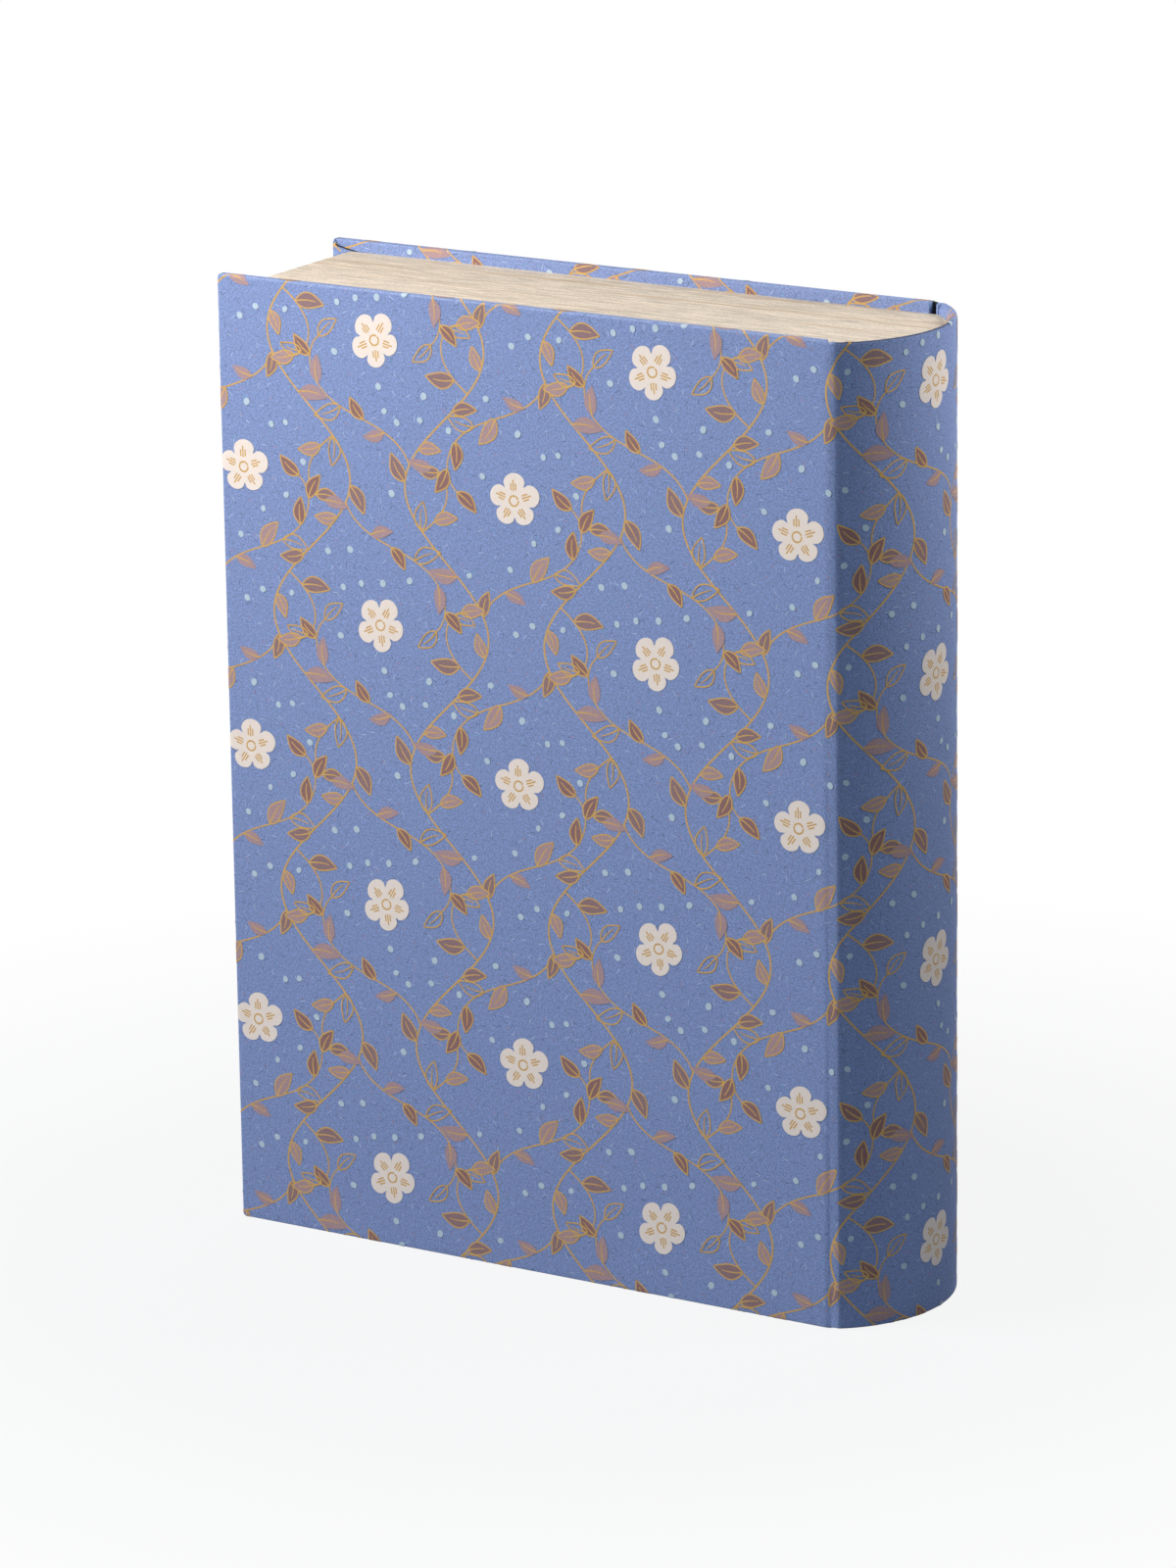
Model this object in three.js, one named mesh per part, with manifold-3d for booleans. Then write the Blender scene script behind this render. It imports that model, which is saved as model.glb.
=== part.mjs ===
// A book storage box: a rigid card box that looks like a thick closed hardback book, standing upright.
// The near cover is a lid hinged on its joint, and the page block is a tray fixed to the far cover.
// Sizes are millimetres. The box is drawn from its fore-edge (x = 0) to the spine (+x), from the near
// cover's outer face (y = 0) to the far one (+y), and up from the surface it stands on (z = 0).
import * as THREE from "three";
import { mergeVertices } from "three/addons/utils/BufferGeometryUtils.js";
import Module from "manifold-3d";

// Overall size
const COVER_WIDTH = 186; // fore-edge to the shoulder where the spine starts to curve
const COVER_HEIGHT = 260;
const BOOK_THICKNESS = 57; // outer face to outer face
const SPINE_BULGE = 14; // how far the spine stands past the shoulders

// Case: boards, spine card and the printed paper that wraps them
const BOARD_THICKNESS = 2;
const COVER_PAPER = 0.3;
const CORNER_RADIUS = 1; // covers, at the fore-edge corners
const TURN_IN = 15; // width of the paper folded over onto a board's inner face
const SPINE_TURN_IN = 12;
const SPINE_CARD = 1.5;
const SPINE_SHORT = 0.3; // the spine stops this far short of the covers' head and tail
const JOINT_STRIP = 4.3; // board's end to the shoulder
const GROOVE_WIDTH = 3; // board's end to the spine's flange
const GROOVE_DEPTH = 0.5;
const GLUE_LINE = 0.1; // between the curved layers of the spine

// Page block: a tray of board walls, set back from the covers' edges
const FORE_EDGE_SQUARE = 5.8; // page block back from the covers' fore-edge
const HEAD_SQUARE = 3; // page block down from the covers' head, and up from their tail
const WALL = 3;
const FORE_EDGE_WALL = 8; // thicker, because it holds the steel discs
const FLOOR_CARD = 1.5;
const EDGE_PAPER = 0.2;
const PAPER_TURN_DOWN = 10; // edge papers, down inside from the rim
const LINING = 0.2;

// Inner papers at the lid: laid over the turn-ins, dished between them, and down the near joint's sides
const LINING_MARGIN = 3; // back from the lid's head, tail and fore-edge
const JOINT_PAPER_CLEARANCE = 0.1; // over the printed paper at the bottom of the joint

// Closure and hinge
const MAGNET_RADIUS = 3;
const MAGNET_THICKNESS = 1.5;
const DISC_THICKNESS = 1.2;
const POCKET_CLEARANCE = 0.3; // round a disc in its pocket
const MAGNET_FROM_END = 50; // disc centres from the covers' head and tail
const LID_GAP = 0.3; // lid lining to the tray's rim
const FOLD_GAP = 0.3; // between the two papers that meet at the near crease

// Smoothness
const SPINE_STEPS = 40;
const CORNER_STEPS = 6;
const DISC_SIDES = 48;
const GRID = 1e-4; // corners lie on this grid, so that faces that touch share one plane
const OVERSHOOT = 1; // how far a cutting block runs past the face it opens

// Worked out from the sizes above
const COVER = BOARD_THICKNESS + 2 * COVER_PAPER;
const FAR_INNER_FACE = BOOK_THICKNESS - COVER;
const BOARD_END = COVER_WIDTH - JOINT_STRIP;
const FLANGE_START = BOARD_END + GROOVE_WIDTH;
const CREASE = BOARD_END + GROOVE_WIDTH / 2;
const JOINT_PAPER_START = GROOVE_DEPTH + COVER_PAPER + JOINT_PAPER_CLEARANCE;
const RIM = COVER + LINING + LID_GAP;
const WALL_RIM = RIM + EDGE_PAPER;
const LINING_START = RIM + PAPER_TURN_DOWN;
const FLOOR_TOP = FAR_INNER_FACE - FLOOR_CARD;
const BLOCK_TAIL = HEAD_SQUARE;
const BLOCK_HEAD = COVER_HEIGHT - HEAD_SQUARE;
const WALL_TAIL = BLOCK_TAIL + EDGE_PAPER;
const WALL_HEAD = BLOCK_HEAD - EDGE_PAPER;
const WALL_FORE = FORE_EDGE_SQUARE + EDGE_PAPER;
const ROOM = {
  fore: WALL_FORE + FORE_EDGE_WALL,
  spine: BOARD_END - WALL,
  tail: WALL_TAIL + WALL,
  head: WALL_HEAD - WALL,
};
const SPINE_RADIUS =
  (SPINE_BULGE ** 2 + (BOOK_THICKNESS / 2) ** 2) / (2 * SPINE_BULGE);
const SPINE_CENTRE = COVER_WIDTH + SPINE_BULGE - SPINE_RADIUS;
const SPINE_TAIL = SPINE_SHORT;
const SPINE_HEAD = COVER_HEIGHT - SPINE_SHORT;

// The spine's layers, each as its depth below the outer face
const CARD_OUTSIDE = COVER_PAPER + GLUE_LINE;
const CARD_INSIDE = CARD_OUTSIDE + SPINE_CARD;
const TURN_IN_OUTSIDE = CARD_INSIDE + GLUE_LINE;
const TURN_IN_INSIDE = TURN_IN_OUTSIDE + COVER_PAPER;
const WALL_END_DEPTH = TURN_IN_INSIDE + GLUE_LINE;

const wasm = await Module();
wasm.setup();

const finish = (color, roughness, metalness = 0) =>
  new THREE.MeshStandardMaterial({ color, roughness, metalness });
const PRINTED_PAPER = finish(0x6c82b8, 0.8);
const PAGE_PAPER = finish(0xdccaae, 0.9);
const LINING_PAPER = finish(0xe9e0cf, 0.9);
const GREYBOARD = finish(0x9b968c, 0.95);
const NICKEL = finish(0xc9c9c6, 0.3, 1);
const STEEL = finish(0x8f9194, 0.4, 1);

function solidOf(geometry) {
  const bare = geometry.clone();
  bare.deleteAttribute("normal");
  bare.deleteAttribute("uv");
  const merged = mergeVertices(bare, GRID);
  return new wasm.Manifold(
    new wasm.Mesh({
      numProp: 3,
      vertProperties: merged.attributes.position.array,
      triVerts: new Uint32Array(merged.index.array),
    })
  );
}

function geometryOf(solid) {
  const { vertProperties, triVerts } = solid.getMesh();
  const onGrid = vertProperties.map((v) => Math.round(v / GRID) * GRID);
  return new THREE.BufferGeometry()
    .setAttribute("position", new THREE.BufferAttribute(onGrid, 3))
    .setIndex(new THREE.BufferAttribute(triVerts, 1));
}

function block([x0, x1], [y0, y1], [z0, z1]) {
  const box = new THREE.BoxGeometry(x1 - x0, y1 - y0, z1 - z0);
  return solidOf(box.translate((x0 + x1) / 2, (y0 + y1) / 2, (z0 + z1) / 2));
}

// An outline seen from above, pulled up from z0 to z1.
function column(points, [z0, z1]) {
  const options = { depth: z1 - z0, bevelEnabled: false };
  const pulled = new THREE.ExtrudeGeometry(new THREE.Shape(points), options);
  return solidOf(pulled.translate(0, 0, z0));
}

// A panel upright in the book, from y0 to y1, with its two fore-edge corners rounded.
function panel([x0, x1], [y0, y1], [z0, z1], radius) {
  const outline = new THREE.Shape()
    .moveTo(x1, z0)
    .lineTo(x1, z1)
    .lineTo(x0 + radius, z1)
    .absarc(x0 + radius, z1 - radius, radius, Math.PI / 2, Math.PI, false)
    .lineTo(x0, z0 + radius)
    .absarc(x0 + radius, z0 + radius, radius, Math.PI, 1.5 * Math.PI, false);
  const upright = new THREE.ExtrudeGeometry(outline, {
    depth: y1 - y0,
    bevelEnabled: false,
    curveSegments: CORNER_STEPS,
  });
  return solidOf(upright.rotateX(Math.PI / 2).translate(0, y1, 0));
}

// A disc lying in the book's cover or rim, its axis across the book's thickness.
function disc(radius, [y0, y1], x, z) {
  const round = new THREE.CylinderGeometry(radius, radius, y1 - y0, DISC_SIDES);
  return solidOf(round.translate(x, (y0 + y1) / 2, z));
}

// The spine's section at a depth below its outer face: near flange, arc, far flange.
function spineLine(depth) {
  const radius = SPINE_RADIUS - depth;
  const half = Math.asin((BOOK_THICKNESS / 2 - depth) / radius);
  const points = [new THREE.Vector2(FLANGE_START, depth)];
  for (let i = 0; i <= SPINE_STEPS; i++) {
    const angle = half * ((2 * i) / SPINE_STEPS - 1);
    const x = SPINE_CENTRE + radius * Math.cos(angle);
    points.push(new THREE.Vector2(x, BOOK_THICKNESS / 2 + radius * Math.sin(angle)));
  }
  points.push(new THREE.Vector2(FLANGE_START, BOOK_THICKNESS - depth));
  return points;
}

// One layer of the spine, between two depths below its outer face.
const spineLayer = (outside, inside, span) =>
  column([...spineLine(outside), ...spineLine(inside).reverse()], span);

// The paper where it dips into the groove beside a board, from x0 on the face to x1 in the groove.
// It starts a little inside the flat paper that it joins.
function foldedTongue(x0, x1, isFar, span) {
  const root = x0 + Math.sign(x0 - x1) * OVERSHOOT;
  const at = (x, depth) => new THREE.Vector2(x, isFar ? BOOK_THICKNESS - depth : depth);
  const outside = [at(root, 0), at(x0, 0), at(x1, GROOVE_DEPTH)];
  const inside = [at(root, COVER_PAPER), at(x0, COVER_PAPER), at(x1, GROOVE_DEPTH + COVER_PAPER)];
  return column([...outside, ...inside.reverse()], span);
}

const book = new THREE.Group();
const lid = new THREE.Group();
const tray = new THREE.Group();
book.add(lid, tray);
book.position.set(-(COVER_WIDTH + SPINE_BULGE) / 2, -BOOK_THICKNESS / 2, 0);

function add(group, name, material, solid) {
  const mesh = new THREE.Mesh(geometryOf(solid), material);
  mesh.name = name;
  group.add(mesh);
}

const FULL_HEIGHT = [0, COVER_HEIGHT];
const BOARD_SPAN = [COVER_PAPER, COVER_HEIGHT - COVER_PAPER];
const DISC_X = WALL_FORE + FORE_EDGE_WALL / 2;
const DISC_HEIGHTS = {
  lower: MAGNET_FROM_END,
  upper: COVER_HEIGHT - MAGNET_FROM_END,
};

// A cover's board, from y0 to y1, bare at its joint end.
const coverBoard = (ySpan) =>
  panel([COVER_PAPER, BOARD_END], ySpan, BOARD_SPAN, CORNER_RADIUS - COVER_PAPER);

// A cover's paper: round the board on three edges and turned in on its inner face, inside the window.
function wrappedPaper(faces, board, window) {
  const pocketLength = [COVER_PAPER, BOARD_END + OVERSHOOT];
  const windowLength = [TURN_IN, BOARD_END + OVERSHOOT];
  const windowHeight = [TURN_IN, COVER_HEIGHT - TURN_IN];
  return panel([0, BOARD_END], faces, FULL_HEIGHT, CORNER_RADIUS)
    .subtract(panel(pocketLength, board, BOARD_SPAN, CORNER_RADIUS - COVER_PAPER))
    .subtract(block(windowLength, window, windowHeight));
}

// Lid: the near cover, with the closure's magnets let into its board
const LID_BOARD = [COVER_PAPER, COVER_PAPER + BOARD_THICKNESS];
const lidPaper = wrappedPaper([0, COVER], LID_BOARD, [LID_BOARD[1], COVER + OVERSHOOT]);
const nearTongue = foldedTongue(BOARD_END, CREASE - FOLD_GAP / 2, false, FULL_HEIGHT);
add(lid, "lid_cover_paper", PRINTED_PAPER, lidPaper.add(nearTongue));

const MAGNET_SPAN = [LID_BOARD[1] - MAGNET_THICKNESS, LID_BOARD[1]];
let lidBoard = coverBoard(LID_BOARD);
for (const [place, z] of Object.entries(DISC_HEIGHTS)) {
  const pocket = [MAGNET_SPAN[0], LID_BOARD[1] + OVERSHOOT];
  lidBoard = lidBoard.subtract(disc(MAGNET_RADIUS + POCKET_CLEARANCE, pocket, DISC_X, z));
  add(lid, place + "_lid_magnet", NICKEL, disc(MAGNET_RADIUS, MAGNET_SPAN, DISC_X, z));
}
add(lid, "lid_board", GREYBOARD, lidBoard);

// The lid's lining rests on the turn-ins, drops to the board between them and covers its joint end.
function lidLining() {
  const board = LID_BOARD[1];
  const betweenTurnIns = [TURN_IN, COVER_HEIGHT - TURN_IN];
  const overTurnIns = block(
    [LINING_MARGIN, BOARD_END],
    [COVER, COVER + LINING],
    [LINING_MARGIN, COVER_HEIGHT - LINING_MARGIN]
  );
  const between = block([TURN_IN, BOARD_END], [board, COVER + LINING], betweenTurnIns);
  const dish = block(
    [TURN_IN + LINING, BOARD_END + OVERSHOOT],
    [board + LINING, COVER + LINING + OVERSHOOT],
    [TURN_IN + LINING, COVER_HEIGHT - TURN_IN - LINING]
  );
  const jointEnd = block(
    [BOARD_END, BOARD_END + LINING],
    [JOINT_PAPER_START, board + LINING],
    betweenTurnIns
  );
  return overTurnIns.add(between).subtract(dish).add(jointEnd);
}
add(lid, "lid_lining_paper", LINING_PAPER, lidLining());

// Case: the far cover and the rounded spine
const BACK_BOARD = [FAR_INNER_FACE + COVER_PAPER, BOOK_THICKNESS - COVER_PAPER];
add(tray, "back_board", GREYBOARD, coverBoard(BACK_BOARD));
const backPaper = wrappedPaper(
  [FAR_INNER_FACE, BOOK_THICKNESS],
  BACK_BOARD,
  [FAR_INNER_FACE - OVERSHOOT, BACK_BOARD[0]]
);
const farTongue = foldedTongue(BOARD_END, CREASE, true, FULL_HEIGHT);
add(tray, "back_cover_paper", PRINTED_PAPER, backPaper.add(farTongue));

const CARD_SPAN = [SPINE_TAIL + COVER_PAPER, SPINE_HEAD - COVER_PAPER];
add(tray, "spine_card", GREYBOARD, spineLayer(CARD_OUTSIDE, CARD_INSIDE, CARD_SPAN));

// The spine's paper: outer face, folded over the card's head and tail and turned in behind it.
function spinePaper() {
  const span = [SPINE_TAIL, SPINE_HEAD];
  return spineLayer(0, COVER_PAPER, span)
    .add(foldedTongue(FLANGE_START, CREASE + FOLD_GAP / 2, false, span))
    .add(foldedTongue(FLANGE_START, CREASE, true, span))
    .add(spineLayer(0, TURN_IN_INSIDE, [SPINE_TAIL, CARD_SPAN[0]]))
    .add(spineLayer(0, TURN_IN_INSIDE, [CARD_SPAN[1], SPINE_HEAD]))
    .add(spineLayer(TURN_IN_OUTSIDE, TURN_IN_INSIDE, [SPINE_TAIL, SPINE_TAIL + SPINE_TURN_IN]))
    .add(spineLayer(TURN_IN_OUTSIDE, TURN_IN_INSIDE, [SPINE_HEAD - SPINE_TURN_IN, SPINE_HEAD]));
}
add(tray, "spine_cover_paper", PRINTED_PAPER, spinePaper());

// Tray: the head and tail walls, whose rounded ends fill the spine, seen from above
const endWallOutline = () => [
  new THREE.Vector2(WALL_FORE, WALL_RIM),
  new THREE.Vector2(FLANGE_START, WALL_RIM),
  ...spineLine(WALL_END_DEPTH),
  new THREE.Vector2(FLANGE_START, FAR_INNER_FACE),
  new THREE.Vector2(WALL_FORE, FAR_INNER_FACE),
];
const HEAD_WALL = [ROOM.head, WALL_HEAD];
const TAIL_WALL = [WALL_TAIL, ROOM.tail];
add(tray, "head_wall", GREYBOARD, column(endWallOutline(), HEAD_WALL));
add(tray, "tail_wall", GREYBOARD, column(endWallOutline(), TAIL_WALL));

// Between them, the fore-edge wall with the steel discs in its rim, and the flat wall behind the spine
const WALL_DEPTH = [WALL_RIM, FAR_INNER_FACE];
const BETWEEN_ENDS = [ROOM.tail, ROOM.head];
const DISC_SPAN = [WALL_RIM, WALL_RIM + DISC_THICKNESS];
let foreEdgeWall = block([WALL_FORE, ROOM.fore], WALL_DEPTH, BETWEEN_ENDS);
for (const [place, z] of Object.entries(DISC_HEIGHTS)) {
  const pocket = [WALL_RIM - OVERSHOOT, DISC_SPAN[1]];
  foreEdgeWall = foreEdgeWall.subtract(
    disc(MAGNET_RADIUS + POCKET_CLEARANCE, pocket, DISC_X, z)
  );
  add(tray, place + "_steel_disc", STEEL, disc(MAGNET_RADIUS, DISC_SPAN, DISC_X, z));
}
add(tray, "fore_edge_wall", GREYBOARD, foreEdgeWall);
add(tray, "spine_wall", GREYBOARD, block([ROOM.spine, BOARD_END], WALL_DEPTH, BETWEEN_ENDS));

const FLOOR_BOARD = [FLOOR_TOP, FAR_INNER_FACE];
const ROOM_LENGTH = [ROOM.fore, ROOM.spine];
add(tray, "tray_floor", GREYBOARD, block(ROOM_LENGTH, FLOOR_BOARD, BETWEEN_ENDS));

// Edge papers: each covers a wall's outer face, turns over its rim and runs down inside
const RIM_SHEET = [RIM, WALL_RIM];
const TURN_DOWN = [RIM, LINING_START];
const PAPERED_LENGTH = [ROOM.fore + EDGE_PAPER, ROOM.spine - EDGE_PAPER];
const PAPERED_HEIGHT = [ROOM.tail + EDGE_PAPER, ROOM.head - EDGE_PAPER];

// outside, inside: the sheet's height range on the outer face and on the inner face.
function endPaper(outside, inside) {
  const low = Math.min(...outside, ...inside);
  const high = Math.max(...outside, ...inside);
  return column(endWallOutline(), outside)
    .add(block([WALL_FORE, FLANGE_START], RIM_SHEET, [low, high]))
    .add(block(PAPERED_LENGTH, TURN_DOWN, inside));
}
add(
  tray,
  "head_edge_paper",
  PAGE_PAPER,
  endPaper([WALL_HEAD, BLOCK_HEAD], [ROOM.head - EDGE_PAPER, ROOM.head])
);
add(
  tray,
  "tail_edge_paper",
  PAGE_PAPER,
  endPaper([BLOCK_TAIL, WALL_TAIL], [ROOM.tail, ROOM.tail + EDGE_PAPER])
);

function foreEdgePaper() {
  const inner = [ROOM.fore, ROOM.fore + EDGE_PAPER];
  return block([FORE_EDGE_SQUARE, WALL_FORE], [RIM, FAR_INNER_FACE], [BLOCK_TAIL, BLOCK_HEAD])
    .add(block([FORE_EDGE_SQUARE, inner[1]], RIM_SHEET, PAPERED_HEIGHT))
    .add(block(inner, TURN_DOWN, PAPERED_HEIGHT));
}
add(tray, "fore_edge_paper", PAGE_PAPER, foreEdgePaper());

// This one crosses the rim to the spine's near flange and covers the flange's end in the joint.
function spineWallPaper() {
  const inner = [ROOM.spine - EDGE_PAPER, ROOM.spine];
  const flangeEnd = [FLANGE_START - EDGE_PAPER, FLANGE_START];
  const betweenTurnIns = [SPINE_TAIL + SPINE_TURN_IN, SPINE_HEAD - SPINE_TURN_IN];
  return block([inner[0], FLANGE_START], RIM_SHEET, PAPERED_HEIGHT)
    .add(block(inner, TURN_DOWN, PAPERED_HEIGHT))
    .add(block(flangeEnd, [JOINT_PAPER_START, WALL_RIM], betweenTurnIns));
}
add(tray, "spine_wall_paper", PAGE_PAPER, spineWallPaper());

// Lining: one strip round the four inner walls below the turned-down papers, and a sheet on the floor
const LINING_DEPTH = [LINING_START, FLOOR_TOP];
const LINED_LENGTH = [ROOM.fore + LINING, ROOM.spine - LINING];
const LINED_HEIGHT = [ROOM.tail + LINING, ROOM.head - LINING];
const wallLining = block(ROOM_LENGTH, LINING_DEPTH, BETWEEN_ENDS).subtract(
  block(LINED_LENGTH, [LINING_START - OVERSHOOT, FLOOR_TOP + OVERSHOOT], LINED_HEIGHT)
);
add(tray, "wall_lining_paper", LINING_PAPER, wallLining);
add(
  tray,
  "floor_lining_paper",
  LINING_PAPER,
  block(LINED_LENGTH, [FLOOR_TOP - LINING, FLOOR_TOP], LINED_HEIGHT)
);

export default book;
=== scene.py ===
import math

import bmesh
import bpy
import numpy as np
from mathutils import Matrix, Vector


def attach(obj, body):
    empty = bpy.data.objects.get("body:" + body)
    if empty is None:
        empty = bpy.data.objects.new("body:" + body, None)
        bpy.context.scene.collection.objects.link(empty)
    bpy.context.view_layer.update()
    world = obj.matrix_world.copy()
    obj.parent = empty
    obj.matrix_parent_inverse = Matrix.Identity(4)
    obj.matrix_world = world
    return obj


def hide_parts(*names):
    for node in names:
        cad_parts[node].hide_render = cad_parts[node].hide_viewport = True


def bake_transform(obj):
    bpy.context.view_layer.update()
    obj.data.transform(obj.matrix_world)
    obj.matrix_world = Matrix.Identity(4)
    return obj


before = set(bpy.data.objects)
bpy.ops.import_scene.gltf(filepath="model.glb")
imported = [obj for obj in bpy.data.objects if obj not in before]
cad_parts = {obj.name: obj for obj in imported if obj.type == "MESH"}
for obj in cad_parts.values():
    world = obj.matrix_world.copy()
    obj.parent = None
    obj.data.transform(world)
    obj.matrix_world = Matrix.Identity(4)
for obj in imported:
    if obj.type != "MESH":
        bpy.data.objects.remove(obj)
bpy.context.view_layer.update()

# Camera: a long lens at the photograph's angle, a little to the spine's side and above the box.
# Its place was worked out from the covers' corners, straight edges and the spine's outline.
azimuth, elevation, roll = 0.556674284, 0.268391043, -0.0139177267
distance = 1.86383  # metres, from the aim
aim = Vector((-0.010, 0.0015, 0.130))
picture = (1200, 1600)  # pixels across and down
aim_pixel = (588.238322, 785.884477)  # where the aim lies in the picture
pixels_per_metre = 3873.44365  # at the aim
film = 36  # millimetres, along the picture's longer side


def add_object(name, data):
    """A new object in the scene, at the origin and unturned."""
    made = bpy.data.objects.new(name, data)
    bpy.context.scene.collection.objects.link(made)
    return made


flat_reach = math.cos(elevation)
away = Vector((math.sin(azimuth) * flat_reach, -math.cos(azimuth) * flat_reach, math.sin(elevation)))
level_right = (-away).cross(Vector((0, 0, 1))).normalized()
level_up = level_right.cross(-away)
right = level_right * math.cos(roll) + level_up * math.sin(roll)
up = level_up * math.cos(roll) - level_right * math.sin(roll)
aside, down = ((aim_pixel[i] - picture[i] / 2) / pixels_per_metre for i in range(2))
place = aim + away * distance - (right * aside - up * down)
camera = add_object("camera", bpy.data.cameras.new("camera"))
camera.matrix_world = Matrix.Translation(place) @ Matrix((right, up, away)).transposed().to_4x4()
camera.data.sensor_width = film
camera.data.lens = pixels_per_metre * distance * film / picture[1]
camera.data.clip_start, camera.data.clip_end = 0.1, 50
bpy.context.scene.camera = camera

# Cover paper: one sheet of blue recycled paper, printed before it is cut. It is glued over both boards
# and the spine card, dips into the joint beside each board, and is folded over their edges and glued
# down inside. At the near joint it is also the hinge.
HEIGHT, COVER_WIDTH, THICKNESS, BULGE = 260.0, 186.0, 57.0, 14.0  # all in millimetres
COVER, SPINE, GAP = 2.6, 2.3, 0.95  # folded thickness over board, over the spine card, between them
BOARD_END = 181.7
GAP_START, GAP_OPEN, GAP_SHUT, GAP_END = 182.7, 182.9, 184.4, 184.6  # between board and spine card
EDGE, CORNER = 0.5, 1.0  # radius of a folded edge, and of the fore-edge corners seen from the front
TURN_IN, SPINE_TURN_IN = 15.0, 12.0
RING = 1.2  # the rows that draw a folded edge start this far in from it
ROUND = 3.17  # length of paper round a board's folded edge
BEHIND = ROUND - 2 * EDGE  # flat, a place q in from the edge on the inside lies BEHIND + q past the edge
LAP, LAP_RUN = 0.2, 0.4  # the fore-edge's turn-in rises by LAP over the others, within LAP_RUN
PAPER = 0.26
SPINE_RADIUS = (BULGE**2 + (THICKNESS / 2) ** 2) / (2 * BULGE)
SPINE_CENTRE = COVER_WIDTH + BULGE - SPINE_RADIUS
SPINE_HALF = math.asin(THICKNESS / 2 / SPINE_RADIUS)
SPINE_ARC = 2 * SPINE_HALF * SPINE_RADIUS
SHEET = 2 * COVER_WIDTH + SPINE_ARC
SOFT = 0.45  # the case's corners seen from the head are softened over this far either way


# The sheet is worked out flat, by s across it from the near fore-edge and v up from the tail, and
# then folded.
def case_line(s):
    """Where the sheet's outer face runs, seen from the head, and the direction into the case.
    Flat cover, then an arc over the spine, then the flat far cover, each point being the mean of
    nine along 0.9 mm, so that the shoulders are soft. The direction is the line's own, turned left."""

    def sharp(s):
        angle = np.clip((s - COVER_WIDTH) / SPINE_RADIUS, 0, 2 * SPINE_HALF) - SPINE_HALF
        x = SPINE_CENTRE + SPINE_RADIUS * np.cos(angle)
        x = x + np.minimum(s - COVER_WIDTH, 0) - np.maximum(s - COVER_WIDTH - SPINE_ARC, 0)
        return np.stack([x, THICKNESS / 2 + SPINE_RADIUS * np.sin(angle)], -1)

    def soft(s):
        return sharp(s[..., None] + np.linspace(-SOFT, SOFT, 9)).mean(-2)

    s = np.asarray(s, float)
    along = soft(s + 0.05) - soft(s - 0.05)
    along /= np.linalg.norm(along, axis=-1, keepdims=True)
    return soft(s), np.stack([-along[..., 1], along[..., 0]], -1)


def from_joint(s):
    """Position across the joint, as if it were the near one: the far joint mirrors it."""
    return np.minimum(s, SHEET - s)


def groove(s, v):
    """How far the sheet dips at a joint: a valley 4 mm wide beside the board, steeper on the board's
    side, and a worn-down shoulder. Before the shoulder the sheet sinks on a parabola, and past it the
    sheet comes back on a longer one; the mean of nine points softens the peak. At the near joint the
    valley is pressed in towards the tail and fades upward, and the shoulder is worn down most from
    60 mm up. The far joint is the same all the way up."""
    near, at = s < SHEET / 2, from_joint(s)
    valley = np.interp(at, [182.0, 182.6, 183.4, 183.8, 185.2, 185.9], [0, 0.14, 0.47, 0.47, 0.12, 0])
    pressed = np.interp(v, [0, 25, 60, 110, 150, 180, 200], [0.85, 0.75, 0.5, 0.4, 0.3, 0.1, 0.04])
    sunk = np.interp(v, [0, 30, 60, 100, 260], [0.26, 0.32, 0.40, 0.45, 0.42])
    before_run = np.interp(v, [0, 60, 100, 170, 200, 260], [2.4, 2.8, 3.8, 3.5, 2.8, 2.3])
    sunk, before_run = np.where(near, sunk, 0.12), np.where(near, before_run, 1.5)
    after_run = 7
    worn_down = 0.0
    for aside in np.linspace(-SOFT, SOFT, 9):
        past = at + aside - COVER_WIDTH
        before = np.clip(1 + past / before_run, 0, 1)
        after = np.clip(1 - past / after_run, 0, 1)
        worn_down = worn_down + sunk / 9 * np.where(past < 0, before, after) ** 2
    return valley * np.where(near, pressed, 1.0) + worn_down


def fold_depth(s):
    """Depth of the turned-in layer below the outer face: the board's, the spine's, or the bottom of
    the gap between them, where the folded sheet has only itself inside."""
    return np.interp(from_joint(s), [GAP_START, GAP_OPEN, GAP_SHUT, GAP_END], [COVER, GAP, GAP, SPINE])


def spine_short(s):
    """The spine stops 0.3 mm short of the covers' head and tail; the change is made in the gap."""
    return np.interp(from_joint(s), [GAP_OPEN, GAP_SHUT], [0, 0.3])


def pared(s, depth):
    """How far the fold sinks towards the inside over the spine, whose card is pared to a slope."""
    return np.interp(from_joint(s), [GAP_END, 187.0], [0, 0.9]) * np.maximum(depth - 0.8, 0)


def fold(e, thick, edge):
    """An edge folded right round: a quarter turn, a straight across the thickness, another quarter
    turn, and back along the inside. e is the distance past the start of the first turn. Gives the
    depth below the outer face and how far the point stands towards the edge from that start."""
    turn = edge * np.pi / 2
    across = np.maximum(thick - 2 * edge, 0)
    first = np.clip(e, 0, turn) / edge
    second = np.clip(e - turn - across, 0, turn) / edge
    depth = edge * (1 - np.cos(first)) + np.clip(e - turn, 0, across) + edge * np.sin(second)
    stand = edge * np.sin(first) + edge * (np.cos(second) - 1) - np.maximum(e - 2 * turn - across, 0)
    return depth, stand


def case_point(s, depth, z):
    """A point at depth below the sheet's line at s, at height z, in metres in the box's own place.
    Heights are drawn together a little over the spine, which is shorter than the covers."""
    line, inward = case_line(s)
    point = line + inward * depth[..., None]
    z = spine_short(s) + z * (HEIGHT - 2 * spine_short(s)) / HEIGHT
    x, y = point[..., 0] - (COVER_WIDTH + BULGE) / 2, point[..., 1] - THICKNESS / 2
    return np.stack([x, y, z + np.zeros_like(x)], -1) / 1000


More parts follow.
